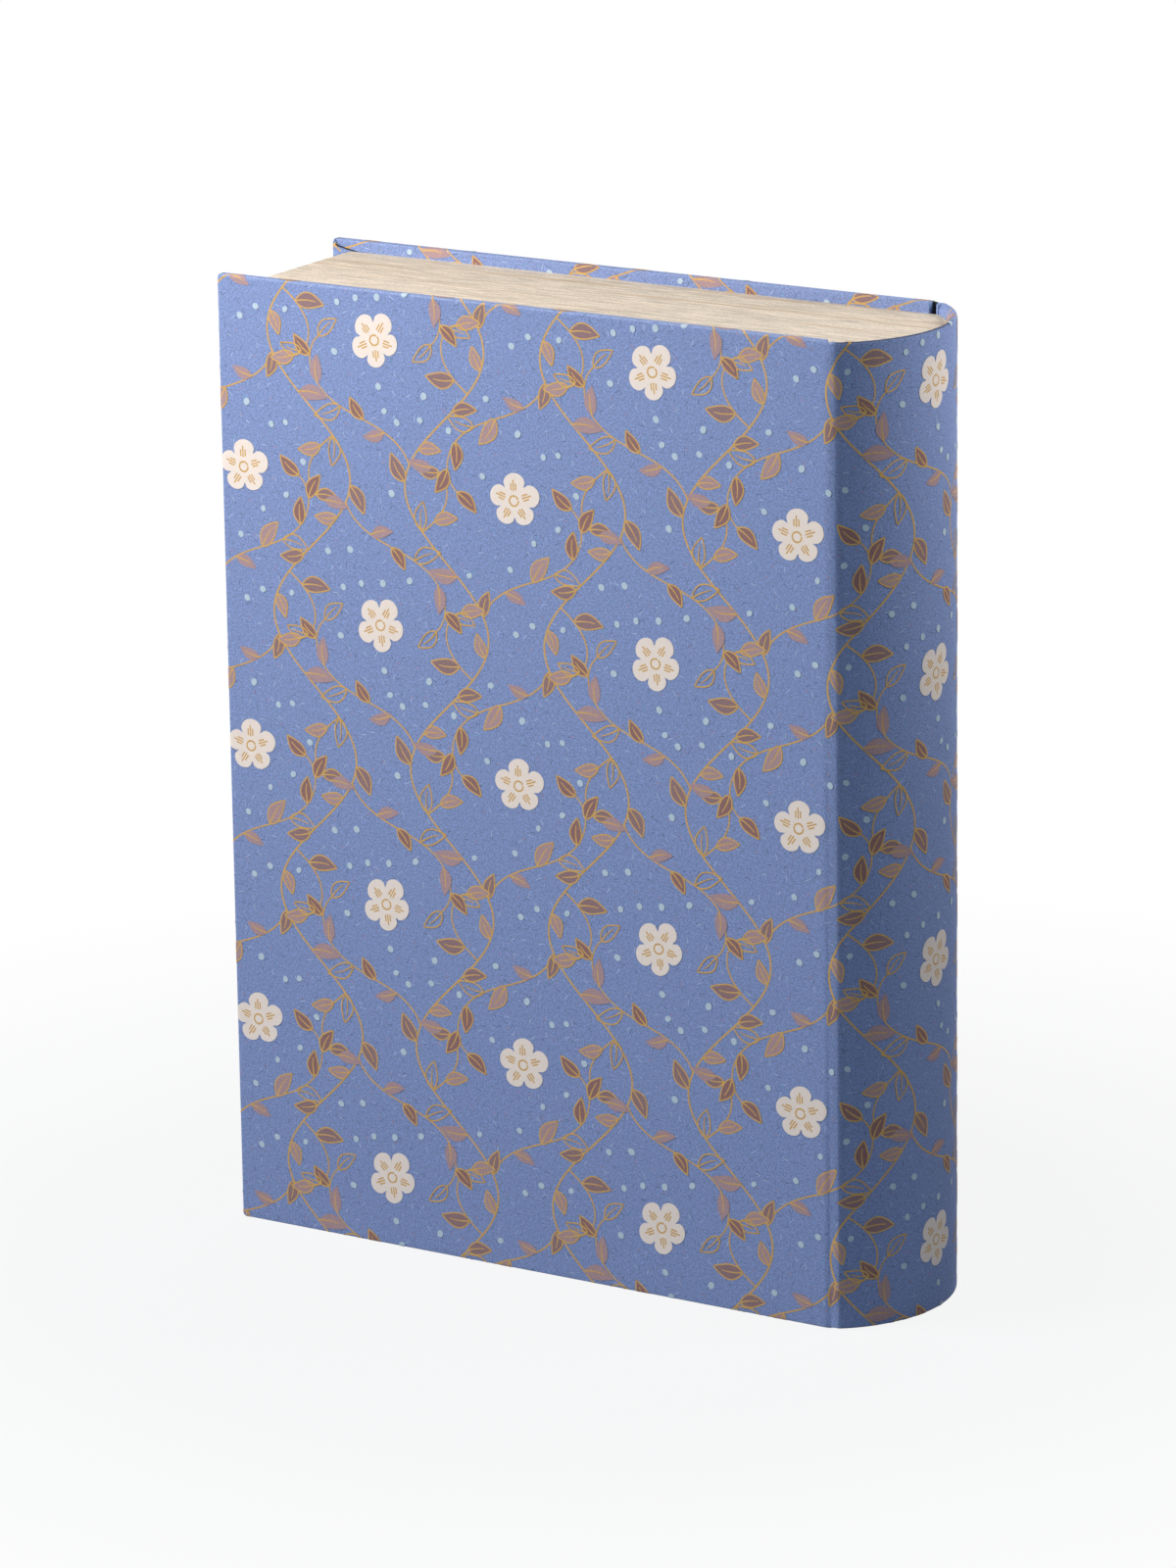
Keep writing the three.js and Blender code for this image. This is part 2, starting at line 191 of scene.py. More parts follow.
def folded_sheet(s, v, lift):
    """Where flat point (s, v) of the sheet goes, off the joint's folds at head and tail and round the
    covers' fore-edges. Points past a head, tail or fore-edge follow that edge's fold. lift raises
    the point off the paper, along the folded sheet's own normal."""

    def place(s, v):
        dip = groove(s, v)
        thick = fold_depth(s) - dip
        edge = np.minimum(EDGE, thick / 2)
        up_depth, up_stand = fold(v - (HEIGHT - edge), thick, edge)
        down_depth, down_stand = fold(edge - v, thick, edge)
        z = np.clip(v, edge, HEIGHT - edge) + up_stand - pared(s, up_depth)
        z = z - down_stand + pared(s, down_depth)
        past = np.maximum(EDGE - s, s - (SHEET - EDGE))
        out_depth, out_stand = fold(past, COVER, EDGE)
        out_depth = out_depth + LAP * np.clip((past - ROUND) / LAP_RUN, 0, 1)
        across = np.clip(s, EDGE, SHEET - EDGE) + np.where(s < COVER_WIDTH, -out_stand, out_stand)
        return case_point(across, dip + up_depth + down_depth + out_depth, z)

    step = 0.02
    at = place(s, v)
    normal = np.cross(place(s + step, v) - place(s - step, v), place(s, v + step) - place(s, v - step))
    normal /= np.maximum(np.linalg.norm(normal, axis=-1, keepdims=True), 1e-12)
    return at + normal * lift / 1000


def sheet_mesh(name, points, faces, flat):
    """A mesh whose UV map "sheet" holds each corner's flat place, in metres."""
    mesh = bpy.data.meshes.new(name)
    mesh.from_pydata(points, [], faces)
    places = (flat[faces] / 1000).astype(np.float32)
    mesh.uv_layers.new(name="sheet").data.foreach_set("uv", places.ravel())
    return mesh


def add_piece(mesh, *materials):
    """Puts a mesh into the scene as a piece with these materials, and shades it smoothly."""
    for material in materials:
        mesh.materials.append(material)
    mesh.polygons.foreach_set("use_smooth", np.ones(len(mesh.polygons), bool))
    mesh.validate()
    mesh.update()
    return add_object(mesh.name, mesh)


def paper_mesh(name, patches, material):
    """One piece from grids of points. Each patch is (points, flat place in mm, wear and painted shade),
    and its quads face away from the board. Corners that coincide are joined."""
    points, flats, wears_and_shades, quads, start = [], [], [], [], 0
    for point, flat, wear_and_shade in patches:
        rows, columns = point.shape[:2]
        index = np.arange(rows * columns).reshape(rows, columns) + start
        corners = index[:-1, :-1], index[1:, :-1], index[1:, 1:], index[:-1, 1:]
        quads.append(np.stack(corners, -1).reshape(-1, 4))
        points.append(point.reshape(-1, 3))
        flats.append(np.broadcast_to(flat, (rows, columns, 2)).reshape(-1, 2))
        wears_and_shades.append(np.broadcast_to(wear_and_shade, (rows, columns)).reshape(-1))
        start += rows * columns
    points, flats, wears_and_shades, quads = map(np.concatenate, (points, flats, wears_and_shades, quads))
    mesh = sheet_mesh(name, points, quads, flats)
    mesh.attributes.new("worn_and_shaded", "FLOAT", "POINT").data.foreach_set("value", wears_and_shades.astype(np.float32))
    joined = bmesh.new()
    joined.from_mesh(mesh)
    bmesh.ops.remove_doubles(joined, verts=joined.verts, dist=1e-6)
    joined.to_mesh(mesh)
    joined.free()
    return add_piece(mesh, material)


def edge_rows(thick, edge, inner):
    """Distances past the start of a folded edge at which it is drawn, and how worn the paper is there,
    for a fold of this thickness, on to the distances in inner along its inside."""
    turn, across = edge * np.pi / 2, thick - 2 * edge
    share = np.linspace(0, 1, 6)
    straight = across * np.array([0.33, 0.67])
    rows = [[edge - RING], share * turn, turn + straight, turn + across + share * turn]
    worn_and_shaded = [[0], np.sin(share * np.pi), [0.1, 0.1], 0.6 * np.sin(share * np.pi), 0 * np.array(inner)]
    return np.concatenate([*rows, 2 * turn + across + np.array(inner)]), np.concatenate(worn_and_shaded)


def turn_in_top(q):
    """Upper end of a fore-edge turn-in, at a distance q in from the fore-edge: it slopes gently down."""
    return np.interp(q, [EDGE, 1.7, TURN_IN], [HEIGHT - 1.05, HEIGHT - 1.6, HEIGHT - 4.3])


EVENLY = np.linspace(0, 1, 61)  # shares of the height at which the sheet is drawn
CLOSER_ENDS = np.concatenate([[0, 0.001, 0.0022], EVENLY[1:-1], [0.9978, 0.999, 1]])


def cover_patches():
    """The near cover's sheet as grids. A ring follows the outline from the joint along the tail, up
    the fore-edge and back along the head: each row is the outline at one inset, its corners being
    arcs about one centre, and each row has its own depth. A flat grid fills the ring. Turn-ins are
    strips behind the board; the fore-edge one lies over the other two."""
    along = np.concatenate([np.linspace(1, 0.02, 45), [0.01, 0.0045, 0.0018, 0]])
    many = len(along)
    arc = np.linspace(0, np.pi / 2, 7)[1:-1]
    to_joint = np.concatenate([along, 0 * arc, 0 * EVENLY, 0 * arc, along[::-1]])
    to_head = np.concatenate([0 * along, 0 * arc, EVENLY, 0 * arc + 1, 0 * along + 1])
    side = np.concatenate([0 * along, -np.sin(arc), 0 * EVENLY - 1, -np.cos(arc), 0 * along])
    rise = np.concatenate([0 * along - 1, -np.cos(arc), 0 * EVENLY, np.sin(arc), 0 * along + 1])

    def outline(inset, pick=slice(None)):
        """Places along the outline, which is moved in by each inset and rounded at its corners."""
        core = np.maximum(inset, CORNER)[None, :]
        reach = CORNER - np.minimum(inset, CORNER)[None, :]
        a, b, dx, dz = (q[pick][:, None] for q in (to_joint, to_head, side, rise))
        return core + (BOARD_END - core) * a + reach * dx, core + (HEIGHT - 2 * core) * b + reach * dz

    e, worn_and_shaded = edge_rows(COVER, EDGE, [0.5])
    depth, stand = fold(e, COVER, EDGE)
    x, z = outline(np.where(e < 0, EDGE - e, EDGE - stand))
    flat = np.stack(outline(EDGE - e), -1)
    # painted shadow in the slits at the fore-edge corners, fainter beside them
    slit = np.zeros_like(x)
    slit[[many - 2, many, -many - 1, 1 - many], 6:] = -0.4
    slit[[many - 1, -many], 5:] = -1.6
    patches = [(case_point(x, depth + 0 * x, z), flat, worn_and_shaded + slit)]
    x = RING + (BOARD_END - RING) * along[::-1]
    x, z = np.meshgrid(x, RING + (HEIGHT - 2 * RING) * EVENLY, indexing="ij")
    patches.append((case_point(x, 0 * x, z), np.stack([x, z], -1), 0.0))
    # head and tail turn-ins, whose ends dip near the fore-edge, which leaves a slit at the corner
    slit_deep, slit_wide = 0.55, 0.3
    inset = np.array([1.0, 1.4, 1.8, 2.4, 3.2, 5, 9, TURN_IN])
    for pick, at_head in ((slice(0, many), False), (slice(len(to_joint) - many, None), True)):
        x, z = outline(inset, pick)
        dip = slit_deep * np.exp(-(((x - inset) / slit_wide) ** 2)) * ((inset > 1.2) & (inset < 2.2))
        flat_z = (HEIGHT + BEHIND + inset if at_head else -BEHIND - inset) + 0 * x
        # painted shadow in the slit, along the turn-in's end near the fore-edge
        slit = np.interp(x - inset, [0, 0.4, 0.9], [-1.6, -0.5, 0]) * (inset < 2.2)
        patches.append((case_point(x, COVER - dip, z), np.stack([x, flat_z], -1), slit))
    # fore-edge turn-in, cut back at its ends so that its upper and lower edges slope
    q = np.array([EDGE, 0.7, 0.9, 1.2, 1.7, 2.3, 2.95])
    top = turn_in_top(q)
    raised = COVER + LAP * np.clip((q - EDGE) / LAP_RUN, 0, 1)
    z = HEIGHT - top + (2 * top - HEIGHT) * CLOSER_ENDS[:, None]
    x = q + 0 * z
    # painted shade along the turn-in's upper and lower edges, where it lies over the others
    seam = np.where((CLOSER_ENDS < 0.0015) | (CLOSER_ENDS > 0.9985), -1.0, 0.0)[:, None]
    patches.append((case_point(x, raised + 0 * z, z), np.stack([-BEHIND - x, z], -1), seam))
    return patches


def joint_rows():
    """Rows of the sheet over the fold at the joint's and spine's head, and the tail's: the distance
    past the fold's start on a cover, shares of the fold's four stretches, so that a row fits any
    thickness, and how worn the paper is."""
    e, worn_and_shaded = edge_rows(COVER, EDGE, [0.5, 0.9, 1.3, 1.9, 2.7, 4.5, 8.5, TURN_IN - EDGE])
    turn, across = EDGE * np.pi / 2, COVER - 2 * EDGE
    starts = np.array([0, turn, turn + across, 2 * turn + across])
    lengths = np.array([turn, across, turn, TURN_IN - EDGE])
    return e, np.clip((e[:, None] - starts) / lengths, 0, 1), worn_and_shaded


def joint_patch(columns):
    """The sheet over joint and spine, for these columns s. Every column has its own fold thickness,
    edge radius and turn-in, so that the folds pinch together in the gap beside a board. The
    shoulder is worn pale along a narrow line, with painted shade on both sides of it, and painted
    shadow darkens the fold in the gap and the head and tail rim over the spine's nearer part."""
    e0, shares, worn_and_shaded = joint_rows()
    at = from_joint(columns)
    middle = RING + (HEIGHT - 2 * RING) * EVENLY[1:-1, None] + 0 * columns
    inner = np.interp(at, [GAP_START, GAP_END], [TURN_IN, SPINE_TURN_IN]) - EDGE

    def end(height):
        """The rows of one end's fold, for the dip at that height: past its start, depth, stand."""
        dip = groove(columns, height)
        thick = fold_depth(columns) - dip
        edge = np.minimum(EDGE, thick / 2)
        turn, across = edge * np.pi / 2, thick - 2 * edge
        e = (shares[..., None] * np.stack([turn, across, turn, inner])).sum(1)
        e = np.where(e0[:, None] < 0, e0[:, None] + edge - EDGE, e)
        depth, stand = fold(e, thick, edge)
        return e - edge, depth + dip, np.where(e < 0, e, stand - pared(columns, depth)) - edge

    (tail_e, tail_depth, tail_stand), (head_e, head_depth, head_stand) = end(0.0), end(HEIGHT)
    z = np.concatenate([-tail_stand[::-1], middle, HEIGHT + head_stand])
    depth = np.concatenate([tail_depth[::-1], groove(columns + 0 * middle, middle), head_depth])
    v = np.concatenate([-tail_e[::-1], middle, HEIGHT + head_e])
    spine = np.interp(at, [GAP_END, 186.5], [0, 1])
    gap = np.interp(at, [182.8, 182.95, 184.35, 184.5], [0, 1, 1, 0])
    turned, rim = e0 > 0.6 * EDGE, (e0 > 0.5 * EDGE) & (e0 < 4)
    shadow_end = COVER_WIDTH + np.array([0.6, 0.72]) * SPINE_ARC
    shadowed = np.interp(columns, shadow_end, [1, 0])
    edges = worn_and_shaded[:, None] * (1 - 0.9 * spine)
    # painted shadow on the fold in the gap beside a board: faint at the near joint, dark at the far one
    edges = edges - gap * np.where(columns < COVER_WIDTH, 0.3, 1.6) * turned[:, None]
    # painted shadow on the spine's rim at head and tail, over its nearer part
    edges = edges - 0.8 * spine * shadowed * rim[:, None]
    wear_and_shade = np.concatenate([edges[::-1], 0 * middle, edges])
    wear_and_shade = wear_and_shade + 0.12 * np.exp(-(((at - COVER_WIDTH) / 0.5) ** 2))
    # painted shade on both sides of each shoulder, over the sheet between the folds
    shoulder_shade = np.interp(at, [182.6, 184.0, 185.3, 186.4, 187.2, 189.0], [0, 0.12, 0.10, 0.09, 0.16, 0])
    wear_and_shade[len(e0) : -len(e0)] -= shoulder_shade
    s = columns + 0 * z
    return case_point(s, depth, z).swapaxes(0, 1), np.stack([s, v], -1).swapaxes(0, 1), wear_and_shade.T


def fill(tree, made, inputs):
    """Links a node's inputs where the value comes from another node, and sets the others."""
    for socket, value in dict(inputs).items():
        if isinstance(value, bpy.types.NodeSocket):
            tree.links.new(value, made.inputs[socket])
        else:
            made.inputs[socket].default_value = value


def node(tree, kind, inputs=(), **settings):
    """Adds a shader node, sets its own settings, and fills or links its inputs."""
    made = tree.nodes.new(kind)
    for key, value in settings.items():
        setattr(made, key, value)
    fill(tree, made, inputs)
    return made


def new_material(name):
    """A new material, its nodes and its shader."""
    material = bpy.data.materials.new(name)
    material.use_nodes = True
    return material, material.node_tree, material.node_tree.nodes["Principled BSDF"]


def maths(tree, operation, *values):
    """Arithmetic on one or two numbers."""
    return node(tree, "ShaderNodeMath", enumerate(values), operation=operation).outputs[0]


def ramp(tree, amount, start, end, first, last):
    """Runs from first to last as amount runs from start to end, and stays there beyond."""
    return node(tree, "ShaderNodeMapRange", enumerate((amount, start, end, first, last))).outputs[0]


def noise(tree, place, scale, detail, rough=0.5, **settings):
    """Cloudy noise from 0 to 1, with scale clouds in a metre."""
    inputs = {"Vector": place, "Scale": scale, "Detail": detail, "Roughness": rough}
    return node(tree, "ShaderNodeTexNoise", inputs, **settings).outputs[0]


def over(tree, colour, tone, share):
    """A second colour over the first, as strongly as share says."""
    return node(tree, "ShaderNodeMix", {0: share, 6: colour, 7: tone}, data_type="RGBA").outputs[2]


def shade(tree, colour, dark, light, amount):
    """Colour times a factor that runs from dark to light as amount runs from 0.25 to 0.75."""
    inputs = {0: 1.0, 6: colour, 7: ramp(tree, amount, 0.25, 0.75, dark, light)}
    return node(tree, "ShaderNodeMix", inputs, data_type="RGBA", blend_type="MULTIPLY").outputs[2]


def bump(tree, height, distance, strength, **under):
    """The surface raised by height, on top of another such surface where Normal names one."""
    inputs = {"Height": height, "Distance": distance, "Strength": strength, **under}
    return node(tree, "ShaderNodeBump", inputs).outputs[0]


def flecks(tree, place, seed, spacing, length, width, share):
    """Mask of short straight fibres. Each cell of a grid of scattered points holds one fibre through
    its point, turned by a random angle: a place counts when it is near the point along the fibre
    and very near across it. Only a share of the cells have one."""
    shift = {0: place, 1: (seed * 0.37, seed * 0.19, 0)}
    moved = node(tree, "ShaderNodeVectorMath", shift, operation="ADD").outputs[0]
    grid = {"Vector": moved, "Scale": 1 / spacing}
    cells = node(tree, "ShaderNodeTexVoronoi", grid, voronoi_dimensions="2D")
    both = {0: moved, 1: cells.outputs["Position"]}
    gap = node(tree, "ShaderNodeVectorMath", both, operation="SUBTRACT").outputs[0]
    lot = node(tree, "ShaderNodeSeparateColor", {0: cells.outputs["Color"]}).outputs
    turn = {"Vector": gap, "Angle": maths(tree, "MULTIPLY", lot[0], math.tau)}
    turned = node(tree, "ShaderNodeVectorRotate", turn, rotation_type="Z_AXIS").outputs[0]
    along, across, _ = node(tree, "ShaderNodeSeparateXYZ", {0: turned}).outputs
    near_along = maths(tree, "LESS_THAN", maths(tree, "ABSOLUTE", along), length / 2)
    near_across = maths(tree, "LESS_THAN", maths(tree, "ABSOLUTE", across), width / 2)
    kept = maths(tree, "LESS_THAN", lot[1], share)
    return maths(tree, "MULTIPLY", maths(tree, "MULTIPLY", near_along, near_across), kept)


def cover_stock(name, colour, mottle, roughness, fibres=True, on_sheet=True):
    """The recycled paper, bare or under an ink: a fine mottle over faint clouds, violet and blue tints
    and a few coloured fibres where it is bare, more fibres that only show as ridges, a little pale
    wear where the paper's wear-and-shade attribute is above nought, painted shade going towards near
    black where it is below, and a toothy surface. It is laid out on the flat sheet, or on the piece's
    own place where there is none."""
    material, tree, shader = new_material(name)
    if on_sheet:
        sheet = node(tree, "ShaderNodeUVMap", uv_map="sheet").outputs[0]
    else:
        spot = node(tree, "ShaderNodeTexCoord").outputs["Object"]
        upright = {"Vector": spot, "Rotation": (math.pi / 2, 0, 0)}
        sheet = node(tree, "ShaderNodeMapping", upright).outputs[0]

    def pulp(scale, detail, rough=0.6):
        return noise(tree, sheet, scale, detail, rough, noise_dimensions="2D")

    tooth, clouds, patchy = pulp(2100, 2), pulp(800, 3, 0.75), pulp(520, 3)
    paper = shade(tree, (*colour, 1), 1 - 1.4 * mottle, 1 + 1.4 * mottle, tooth)
    paper = shade(tree, paper, 1 - 0.35 * mottle, 1 + 0.35 * mottle, clouds)
    if fibres:
        for scale, tone in ((1300, (0.35, 0.29, 0.50, 1)), (1500, (0.13, 0.31, 0.55, 1))):
            paper = over(tree, paper, tone, ramp(tree, pulp(scale, 2), 0.45, 0.70, 0.0, 0.15))
        # seed, spacing, length and width of the fibres in metres, share of them kept, colour
        for *fibre, tone in (
            (1, 0.0054, 0.0015, 0.00017, 0.55, (0.46, 0.56, 0.75, 1)),
            (2, 0.0075, 0.0011, 0.00018, 0.55, (0.44, 0.25, 0.36, 1)),
            (3, 0.0046, 0.0014, 0.00017, 0.55, (0.10, 0.14, 0.27, 1)),
            (4, 0.0105, 0.0009, 0.00022, 0.55, (0.14, 0.36, 0.52, 1)),
        ):
            paper = over(tree, paper, tone, flecks(tree, sheet, *fibre))
    worn_and_shaded = node(tree, "ShaderNodeAttribute", attribute_name="worn_and_shaded").outputs["Fac"]
    rubbed = maths(tree, "MAXIMUM", worn_and_shaded, 0.0)
    rubbed = maths(tree, "MULTIPLY", rubbed, ramp(tree, patchy, 0.4, 0.65, 0.02, 0.40))
    paper = over(tree, paper, (0.44, 0.50, 0.68, 1), rubbed)
    # painted shade: where the wear-and-shade attribute is below nought the paper goes towards near black,
    # standing for shadow in slits, seams, gaps, at the spine's rim and beside the shoulders
    paper = over(tree, paper, (0.010, 0.011, 0.020, 1), ramp(tree, worn_and_shaded, 0.0, -1.0, 0.0, 1.0))
    normal = bump(tree, clouds, 0.00009, 0.5)
    normal = bump(tree, tooth, 0.00009, 0.5, Normal=normal)
    ridges = flecks(tree, sheet, 5, 0.0042, 0.0015, 0.00024, 0.6)
    normal = bump(tree, ridges, 0.00014, 0.8, Normal=normal)
    fill(tree, shader, {"Base Color": paper, "Normal": normal})
    fill(tree, shader, {"Roughness": roughness, "Specular IOR Level": 0.3})
    return material


def dress(material, *names):
    """Gives solids of the frame this material."""
    for name in names:
        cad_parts[name].data.materials.clear()
        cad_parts[name].data.materials.append(material)


BLUE = ((0.229, 0.305, 0.573), 0.26, 0.8)  # colour, mottle, roughness
blue_paper = cover_stock("printed_blue_paper", *BLUE)
near = cover_patches()
far = []
for point, flat, wear_and_shade in near:
    mirrored = point.copy()[::-1]
    mirrored[..., 1] *= -1
    turned = np.broadcast_to(flat, point.shape[:2] + (2,))[::-1].copy()
    turned[..., 0] = SHEET - turned[..., 0]
    far.append((mirrored, turned, np.broadcast_to(wear_and_shade, point.shape[:2])[::-1]))
# the far cover's fore-edge turn-in goes on to the page block's side, and above and below the block
BLOCK_SIDE, BLOCK_HEAD = 5.75, 257.03
for start, end, part in ((2.95, BLOCK_SIDE, "all"), (BLOCK_SIDE, 10.5, "head"), (BLOCK_SIDE, 10.5, "tail")):
    share = CLOSER_ENDS if part == "all" else EVENLY
    q, share = np.meshgrid(np.linspace(start, end, 8), share, indexing="ij")
    top = turn_in_top(q)
    low = HEIGHT - top if part == "all" else BLOCK_HEAD
    z = low + (top - low) * share
    z = HEIGHT - z[:, ::-1] if part == "tail" else z
    # painted shade along the turn-in's upper and lower edges
    seam = np.where(np.minimum(np.abs(top - z), np.abs(HEIGHT - top - z)) < 0.3, -1.0, 0.0)
    flat = np.stack([SHEET + BEHIND + q, z], -1)
    far.append((case_point(SHEET - q, COVER + LAP + 0 * q, z), flat, seam))

joint_columns = np.concatenate([
    [181.7, 182.0, 182.3, 182.6, 182.7, 182.78, 182.87, 182.95, 183.1, 183.35, 183.6, 183.85, 184.1],
    [184.35, 184.43, 184.52, 184.6, 184.8, 185.1, 185.4, 185.65, 185.85, 186.05, 186.25, 186.5],
    [186.9, 187.3, 187.7, 188.1],
])
half = np.concatenate([joint_columns, np.linspace(189.0, SHEET / 2, 34)])
across_case = np.concatenate([half, (SHEET - half)[::-1][1:]])
SEAM = SHEET - GAP_END  # the two pieces of the sheet meet beside the flange in the far groove
lid_and_spine = across_case[across_case <= SEAM + 1e-6]
far_joint = across_case[across_case >= SEAM - 1e-6]
lid_spine_wrap = paper_mesh("lid_and_spine_wrap", near + [joint_patch(lid_and_spine)], blue_paper)
back_wrap = paper_mesh("back_cover_wrap", far + [joint_patch(far_joint)], blue_paper)
for wrap in (lid_spine_wrap, back_wrap):
    thickness = wrap.modifiers.new("paper_thickness", "SOLIDIFY")
    thickness.thickness, thickness.offset = PAPER / 1000, -1
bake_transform(lid_spine_wrap)
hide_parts("lid_cover_paper", "spine_cover_paper")
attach(back_wrap, "tray")
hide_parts("back_cover_paper")
plain_blue = cover_stock("blue_paper_on_board", *BLUE, on_sheet=False)
dress(plain_blue, "lid_cover_paper", "spine_cover_paper", "back_cover_paper")

# Printed pattern: leafy vines in gold ochre with brown and rose leaves, five-petalled cream blossoms
# and pale dots, printed flat on the paper before it was folded. Each stroke or patch of ink is a skin
# a few hundredths of a millimetre up, drawn on the flat sheet, cut where it folds, and folded with it.
REPEAT, RISE = 84.0, 76.0  # the pattern repeats at these steps across and up the sheet
SHIFT = -14.0  # where the first repeat starts, so that no blossom lies on the near shoulder
SWAY = 12.5  # how far a vine swings to either side
FINE = 0.46  # width of a drawn line
FIRST_LIFT, LAYER_LIFT = 0.030, 0.002  # how far up the first ink lies, and each one over the last
MISFIT = np.array([0.16, -0.12])  # the fills were printed this far from their outlines
random = np.random.default_rng(11)


def vine(t):
    """A main stem, by height: it sways as a sine over one repeat."""
    return np.stack([SWAY * np.sin(2 * np.pi * t / RISE), t + 0.0], -1)


def tendril(root, headings, length, t):
    """A side shoot from the vine at height root. Its direction runs through three headings, at the
    root, half way and at the tip, along a parabola; the line is the running sum of its directions."""
    share = np.linspace(0, 1, 61)
    first, middle, last = headings
    turned = first + (4 * middle - 3 * first - last) * share + 2 * (first + last - 2 * middle) * share**2
    step = np.stack([np.cos(turned), np.sin(turned)], -1) * length / 60
    path = vine(np.array(root)) + np.concatenate([[[0, 0]], np.cumsum((step[1:] + step[:-1]) / 2, 0)])
    return np.stack([np.interp(t, share, path[:, 0]), np.interp(t, share, path[:, 1])], -1)


def ribbon(line, width):
    """A stroke: grid of two edges at half the width either side of each line. The width may vary."""
    ahead = np.gradient(line, axis=-2)
    ahead /= np.maximum(np.linalg.norm(ahead, axis=-1, keepdims=True), 1e-9)
    reach = np.asarray(width + 0 * line[..., 0])[..., None] / 2
    side = np.stack([-ahead[..., 1], ahead[..., 0]], -1) * reach
    return np.stack([line - side, line + side], -2)


def leaf(u, w):
    """A leaf 1 long on its own axis: u from base to tip, w from edge to edge. Its half-width is a
    sine with its widest point before the middle, and its midrib is bent a little."""
    half = 0.245 * np.sin(np.pi * u**0.82) ** 0.95 * (1 - 0.10 * u)
    return np.stack([u, w * half + 0.07 * np.sin(np.pi * u)], -1)


def put(shape, at, angle, size):
    """Turns, scales and moves a shape to many places at once: one copy for each place."""
    c, s = np.cos(angle), np.sin(angle)
    turn = np.stack([np.stack([c, -s], -1), np.stack([s, c], -1)], -2)
    tail = (slice(None),) + (None,) * (shape.ndim - 1)
    return np.einsum("...ij,...j->...i", turn[tail], shape[None] * size[tail + (None,)]) + at[tail]


def direction(ahead):
    """The angle that a small step ahead makes with the line across the sheet."""
    return np.arctan2(ahead[..., 1], ahead[..., 0])


ink = []  # (ink, lift, loose triangles), in the order in which they are printed


def lay(name, grids):
    """Adds a stack of grids in one ink, each quad as two triangles. Each layer lies 2 thousandths of a
    millimetre over the one before, because two skins in one plane would shade each other."""
    a, b = grids[..., :-1, :-1, :], grids[..., 1:, :-1, :]
    c, d = grids[..., 1:, 1:, :], grids[..., :-1, 1:, :]
    loose = [np.stack(corners, -2).reshape(-1, 3, 2) for corners in ((a, b, c), (a, c, d))]
    ink.append((name, FIRST_LIFT + LAYER_LIFT * len(ink), np.concatenate(loose)))


def as_drawn(shape):
    """The pattern's first vine and all on it."""
    return shape


def half_turn(shape):
    """The pattern's second vine and all on it: the first turned by half a turn within the repeat."""
    return np.array([REPEAT / 2, 1.5 * RISE]) - shape


def slide(shape):
    """A vine's other side: the first mirrored, and moved up by half a repeat."""
    return shape * [-1, 1] + [0, RISE / 2]


# stems of one vine, and its leaves: place, direction of the stem there, side, size
stems = [(vine(np.linspace(0, RISE, 61)), FINE + 0.06)]
root = (np.arange(7) + 0.30) * RISE / 7 + random.uniform(-1.0, 1.0, 7)
shoots = [(vine(root), direction(vine(root + 0.1) - vine(root)), np.where(np.arange(7) % 2, 1, -1))]
for root, headings, length, count in (
    (0.33, (1.20, 0.42, 2.50), 49, 5),
    (0.60, (0.65, 1.25, 3.00), 23, 2),
):
    for other in (False, True):
        t = np.linspace(0.22, 0.86, count) + random.uniform(-0.02, 0.02, count)
        t = np.append(t, 0.995)
        whole = np.linspace(0, 1, round(length * 0.8))
        line, here, ahead = (tendril(root * RISE, headings, length, q) for q in (whole, t, t + 0.005))
        side = np.append(np.where(np.arange(count) % 2, 1, -1), 0)
        if other:
            line, here, ahead, side = slide(line), slide(here), slide(ahead), -side
        stems.append((line, np.linspace(FINE, FINE - 0.08, len(line))))
        shoots.append((here, direction(ahead - here), side))
places, along, sides = (np.concatenate([group[i] for group in shoots]) for i in range(3))
number = len(places)
angles = along + sides * random.uniform(0.55, 0.95, number)
sizes = np.where(sides == 0, 7.6, random.uniform(6.8, 9.2, number))
kinds = random.permutation(np.arange(number)) % 5
blade = leaf(*np.meshgrid(np.linspace(0.005, 0.995, 9), np.linspace(-1, 1, 4), indexing="ij"))
rim_u = np.concatenate([np.linspace(0.02, 0.985, 13), np.linspace(0.985, 0.02, 13)])
rim = leaf(rim_u, np.concatenate([np.ones(13), -np.ones(13)]))
rib = leaf(np.linspace(0, 0.72, 7), np.zeros(7))

# a blossom: five round petals as lobes of one star, short gold strokes on each, and a gold eye
around, out = np.meshgrid(np.linspace(0, 2 * np.pi, 71), np.array([0.0, 0.45, 0.75, 1.0]), indexing="ij")
lobe = 7.7 * (0.60 + 0.40 * np.abs(np.cos(2.5 * around)) ** 0.5) * (1 + 0.06 * np.cos(around - 0.9))
bloom = np.stack([np.cos(around), 0.92 * np.sin(around)], -1) * (lobe * out)[..., None]
t = np.linspace(0, 1, 6)
strokes = []
for offset, start, end, curl in ((-0.24, 2.9, 4.7, 0.10), (0, 2.6, 5.6, 0.0), (0.24, 2.9, 4.7, -0.10)):
    turned = (np.arange(5) * 2 * np.pi / 5)[:, None] + offset + curl * t
    reach = (start + (end - start) * t)[:, None]
    strokes.append(np.stack([np.cos(turned), np.sin(turned)], -1) * reach)
strokes = np.concatenate(strokes)
eye = 1.35 * np.stack([np.cos(around[::4, 0]), np.sin(around[::4, 0])], -1)
bloom_at = np.array([[REPEAT / 4, 0.75 * RISE], [REPEAT * 3 / 4, 0.25 * RISE]])
blooms = (bloom_at, np.array([0.35, 1.05]), np.ones(2))  # place, angle, size
